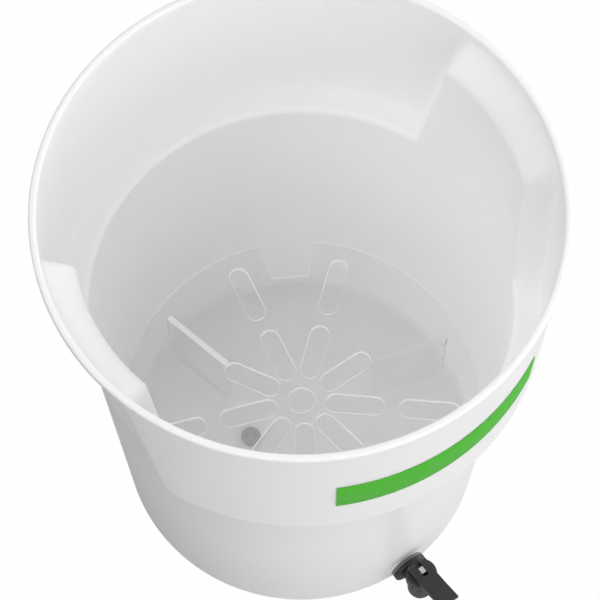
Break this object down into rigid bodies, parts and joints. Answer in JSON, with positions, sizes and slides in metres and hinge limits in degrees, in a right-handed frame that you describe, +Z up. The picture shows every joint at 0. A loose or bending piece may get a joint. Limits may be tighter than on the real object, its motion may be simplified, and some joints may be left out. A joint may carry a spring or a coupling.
{
  "type": "cold brew coffee maker",
  "caption": "Open tapered white container with a wide collar and cut-in hand grips, a clear slotted lift plate on fins inside and a spring-closed lever tap low at the front.",
  "frame": {"origin": "middle of the container's flat underside, on the surface it stands on", "axes": "+Z up, front with the tap towards -Y, hand grips on the X axis"},
  "size_m": [0.38, 0.3987, 0.44],
  "materials": {
    "white_plastic": "satin, slightly translucent white polyethylene",
    "clear_plastic": "smooth clear plastic, greyish where it lies over white",
    "green_print": "plain printed film, satin",
    "black_plastic": "black moulded plastic, soft sheen",
    "grey_rubber": "matt grey rubber",
    "pale_silicone": "matt pale silicone",
    "stainless_steel": "drawn stainless steel"
  },
  "bodies": {
    "container": {"container": "white_plastic", "front_label": "green_print", "floor_plug": "grey_rubber", "tap_body": "black_plastic", "tap_outer_gasket": "grey_rubber", "tap_inner_gasket": "grey_rubber", "tap_lock_nut": "black_plastic", "tap_bonnet": "black_plastic", "valve_spring": "stainless_steel"},
    "lift": {"lift_plate": "clear_plastic", "lift_fin_1": "clear_plastic", "lift_fin_2": "clear_plastic", "lift_fin_3": "clear_plastic"},
    "valve": {"valve_stem": "stainless_steel", "seat_cup": "pale_silicone"},
    "lever": {"tap_lever": "black_plastic", "lever_pin": "stainless_steel"}
  },
  "joints": [
    {"name": "lift_out", "type": "slide", "parent": "container", "child": "lift", "axis": [0, 0, 1], "range_m": [0, 0.45]},
    {"name": "valve_lift", "type": "slide", "parent": "container", "child": "valve", "axis": [0, 0, 1], "range_m": [0, 0.004], "stiffness_N_per_m": 300, "springref_m": -0.004, "deforming": ["valve_spring"]},
    {"name": "lever_turn", "type": "hinge", "parent": "valve", "child": "lever", "pos_m": [0, -0.1707, 0.055], "axis": [-1, 0, 0], "range_deg": [0, 50]}
  ],
  "couplings": [
    {"joint": "lever_turn", "follows": "valve_lift", "rad_per_m": 218}
  ]
}
